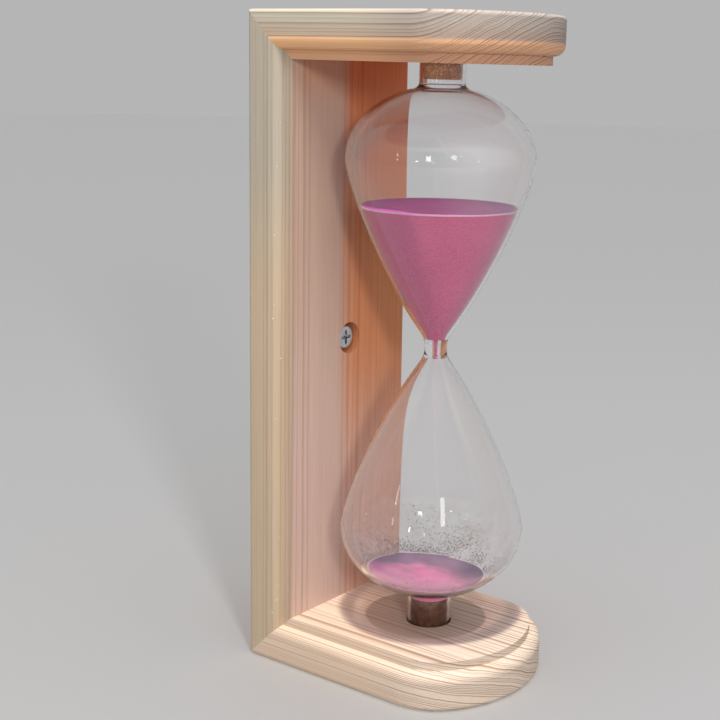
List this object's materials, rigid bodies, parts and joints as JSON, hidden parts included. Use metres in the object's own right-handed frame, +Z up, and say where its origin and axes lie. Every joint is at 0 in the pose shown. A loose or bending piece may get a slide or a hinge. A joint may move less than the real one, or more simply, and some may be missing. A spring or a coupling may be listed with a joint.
{
  "type": "hourglass",
  "caption": "Sand timer: two-bulb glass with pink sand between moulded pine boards, on a back board that flips over about a pivot bolt in a round wall mount.",
  "frame": {"origin": "point on the base board's underside on the glass axis", "axes": "+Z up along the glass axis, +Y from the glass to the wall, bowed front of the boards towards -Y"},
  "size_m": [0.094, 0.1371, 0.3],
  "materials": {
    "pine_back": "sanded, oiled softwood, heartwood and sapwood",
    "pine_shelf": "sanded, oiled softwood",
    "pine_disc": "turned softwood",
    "beech": "plain hardwood dowel",
    "clear_glass": "polished",
    "cork": "pressed cork",
    "felt": "wool felt",
    "pink_sand": "fine dyed grains",
    "zinc_steel": "bright zinc",
    "brass": "turned"
  },
  "bodies": {
    "wall_mount": {"wall_disc": "pine_disc", "disc_insert": "brass", "spacer_washer": "zinc_steel", "head_washer": "zinc_steel", "pivot_bolt": "zinc_steel"},
    "flip_frame": {"back_board": "pine_back", "base_board": "pine_shelf", "top_board": "pine_shelf", "base_mitre_dowels": "beech", "top_mitre_dowels": "beech", "glass_bulbs": "clear_glass", "lower_cork": "cork", "upper_cork": "cork", "lower_felt": "felt", "upper_felt": "felt", "lower_sand": "pink_sand", "upper_sand": "pink_sand", "pivot_bush": "brass"}
  },
  "joints": [
    {"name": "frame_flip", "type": "hinge", "parent": "wall_mount", "child": "flip_frame", "pos_m": [0, 0.0715, 0.15], "axis": [0, 1, 0], "continuous": true}
  ]
}
